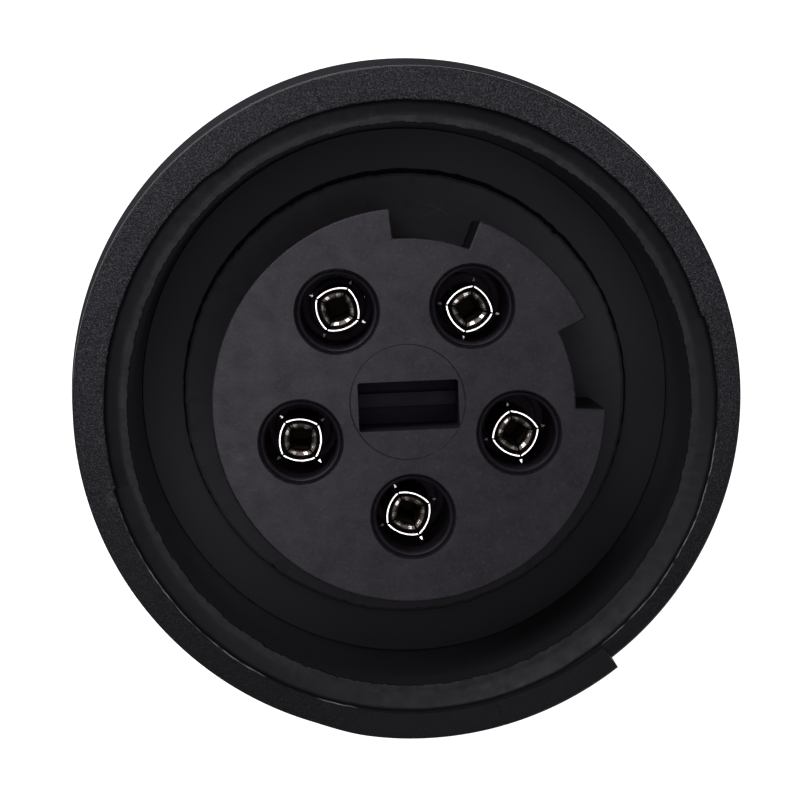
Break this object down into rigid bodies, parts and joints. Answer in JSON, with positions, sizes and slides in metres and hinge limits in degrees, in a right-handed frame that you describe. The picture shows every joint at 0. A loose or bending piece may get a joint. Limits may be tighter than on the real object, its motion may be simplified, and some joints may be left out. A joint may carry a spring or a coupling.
{
  "type": "circular cable connector",
  "caption": "Round free-end cable connector with a turning coupling ring, a keyed socket insert in a deep recess and a screw cable gland.",
  "frame": {"origin": "centre of the gland nut's flat end, on the connector's axis", "axes": "+Z along the axis from the cable end to the mating face; +Y towards the broad keyway of the insert"},
  "size_m": [0.0506, 0.0506, 0.0868],
  "materials": {
    "ring_plastic": "spark-eroded grain on the face, smooth outside",
    "housing_plastic": "fine satin",
    "insert_plastic": "satin with fine scuffs",
    "nut_plastic": "fine satin",
    "cage_plastic": "semi-gloss",
    "washer_plastic": "natural, smooth",
    "seal_rubber": "moulded rubber",
    "contact_plating": "silver-plated copper alloy",
    "screw_steel": "zinc-plated",
    "spring_steel": "bright spring steel"
  },
  "bodies": {
    "housing": {"front_housing": "housing_plastic", "interface_gasket": "seal_rubber", "wave_spring": "spring_steel", "housing_o_ring": "seal_rubber", "contact_insert": "insert_plastic", "insert_o_ring": "seal_rubber", "rear_insert": "insert_plastic", "socket_contact_1": "contact_plating", "socket_contact_2": "contact_plating", "socket_contact_3": "contact_plating", "socket_contact_4": "contact_plating", "socket_contact_5": "contact_plating", "terminal_screw_1": "screw_steel", "terminal_screw_2": "screw_steel", "terminal_screw_3": "screw_steel", "terminal_screw_4": "screw_steel", "terminal_screw_5": "screw_steel", "contact_retainer": "insert_plastic", "retainer_screw": "screw_steel", "rear_sleeve": "housing_plastic", "clamp_cage": "cage_plastic", "sealing_bush": "seal_rubber"},
    "ring": {"coupling_ring": "ring_plastic"},
    "slip_washer": {"gland_washer": "washer_plastic"},
    "nut": {"gland_nut": "nut_plastic"}
  },
  "joints": [
    {"name": "ring_turn", "type": "hinge", "parent": "housing", "child": "ring", "pos_m": [0, 0, 0.06625], "axis": [0, 0, 1], "continuous": true},
    {"name": "nut_travel", "type": "slide", "parent": "housing", "child": "slip_washer", "axis": [0, 0, 1], "range_m": [-0.006, 0]},
    {"name": "nut_turn", "type": "hinge", "parent": "slip_washer", "child": "nut", "pos_m": [0, 0, 0.016], "axis": [0, 0, 1], "range_deg": [-1440, 0]}
  ],
  "couplings": [
    {"joint": "nut_travel", "follows": "nut_turn", "m_per_rad": 0.00023873}
  ]
}
